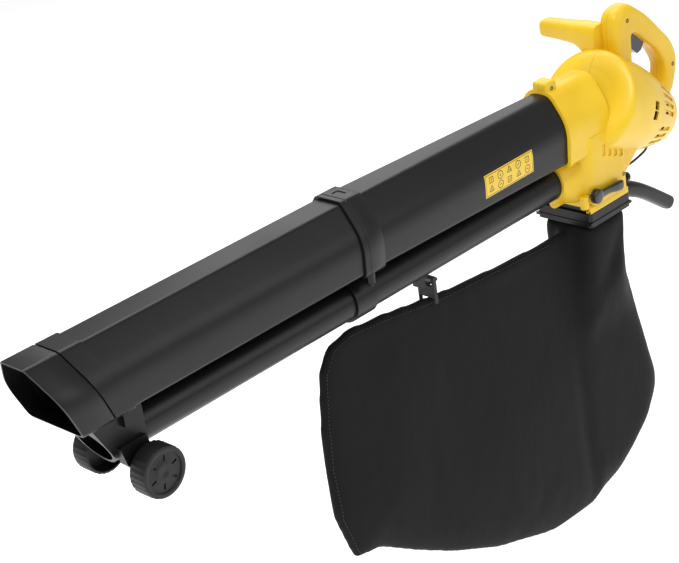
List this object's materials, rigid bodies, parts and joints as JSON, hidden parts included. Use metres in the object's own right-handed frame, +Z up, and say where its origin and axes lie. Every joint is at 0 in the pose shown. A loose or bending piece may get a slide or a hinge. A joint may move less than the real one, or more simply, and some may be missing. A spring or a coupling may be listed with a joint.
{
  "type": "leaf blower",
  "caption": "Hand-held electric leaf blower and vacuum with a long black twin tube on wheels, a yellow fan casing with two handles, and a hanging fabric collecting bag.",
  "frame": {"origin": "middle of the rear grip, where a hand holds the machine", "axes": "+X to the machine's near side when its nozzle points along -Y, +Y back from the nozzle to the grip, +Z up, square to the suction tube"},
  "size_m": [0.1755, 1.1387, 0.7058],
  "materials": {
    "black_plastic": "satin",
    "wheel_plastic": "satin",
    "yellow_plastic": "satin",
    "grey_plastic": "matte",
    "gloss_black": "gloss",
    "steel": "satin",
    "iron_core": "satin",
    "copper": "satin",
    "lead_rubber": "matte",
    "bag_fabric": "matte",
    "webbing": "matte",
    "label_film": "satin"
  },
  "bodies": {
    "blower": {"nozzle_cap": "black_plastic", "lower_vac_tube": "black_plastic", "upper_vac_tube": "black_plastic", "lower_blow_tube": "black_plastic", "upper_blow_tube": "black_plastic", "tube_screws": "steel", "blow_nozzle": "black_plastic", "wheel_axle": "steel", "axle_clips": "steel", "housing_left": "yellow_plastic", "housing_right": "yellow_plastic", "motor_plate": "grey_plastic", "front_handle": "yellow_plastic", "front_bearing": "steel", "rear_bearing": "steel", "stator": "iron_core", "brush_holders": "copper", "bearing_bridge": "grey_plastic", "trigger_spring": "steel", "switch_module": "grey_plastic", "power_inlet": "black_plastic", "catch_spring": "steel", "interlock_switch": "grey_plastic", "interlock_lead": "lead_rubber", "strap_hook": "black_plastic", "label": "label_film", "housing_screws": "steel"},
    "rotor": {"impeller": "grey_plastic", "impeller_nut": "steel", "motor_shaft": "steel", "cooling_fan": "grey_plastic", "armature": "iron_core", "commutator": "copper"},
    "left_wheel": {"wheel_left": "wheel_plastic"},
    "right_wheel": {"wheel_right": "wheel_plastic"},
    "trigger_lever": {"trigger": "gloss_black"},
    "selector": {"selector_shaft": "steel", "selector_lever": "gloss_black", "diverter_flap": "grey_plastic"},
    "bag_tray": {"bag_frame": "black_plastic", "bag_handle": "black_plastic", "bag": "bag_fabric", "bag_strap": "webbing"},
    "bag_catch": {"catch_button": "black_plastic"},
    "tube_latch": {"tube_catch": "black_plastic"}
  },
  "joints": [
    {"name": "fan_spin", "type": "hinge", "parent": "blower", "child": "rotor", "pos_m": [0, -0.156, -0.0295], "axis": [0, 0.891, -0.454], "continuous": true},
    {"name": "left_wheel_spin", "type": "hinge", "parent": "blower", "child": "left_wheel", "pos_m": [-0.048, -0.983, -0.152], "axis": [1, 0, 0], "continuous": true},
    {"name": "right_wheel_spin", "type": "hinge", "parent": "blower", "child": "right_wheel", "pos_m": [0.048, -0.983, -0.152], "axis": [1, 0, 0], "continuous": true},
    {"name": "trigger_pull", "type": "slide", "parent": "blower", "child": "trigger_lever", "axis": [0, 0.5913, 0.8064], "range_m": [0, 0.006], "stiffness_N_per_m": 900, "springref_m": -0.004},
    {"name": "selector_turn", "type": "hinge", "parent": "blower", "child": "selector", "pos_m": [0, -0.207, -0.14], "axis": [1, 0, 0], "range_deg": [-84, 0]},
    {"name": "bag_slide", "type": "slide", "parent": "blower", "child": "bag_tray", "axis": [0, 1, 0], "range_m": [0, 0.085]},
    {"name": "catch_press", "type": "slide", "parent": "blower", "child": "bag_catch", "axis": [0, -1, 0], "range_m": [0, 0.004], "stiffness_N_per_m": 700, "springref_m": -0.004},
    {"name": "tube_latch_press", "type": "slide", "parent": "blower", "child": "tube_latch", "axis": [0, 0, -1], "range_m": [0, 0.003], "stiffness_N_per_m": 800, "springref_m": -0.003}
  ]
}
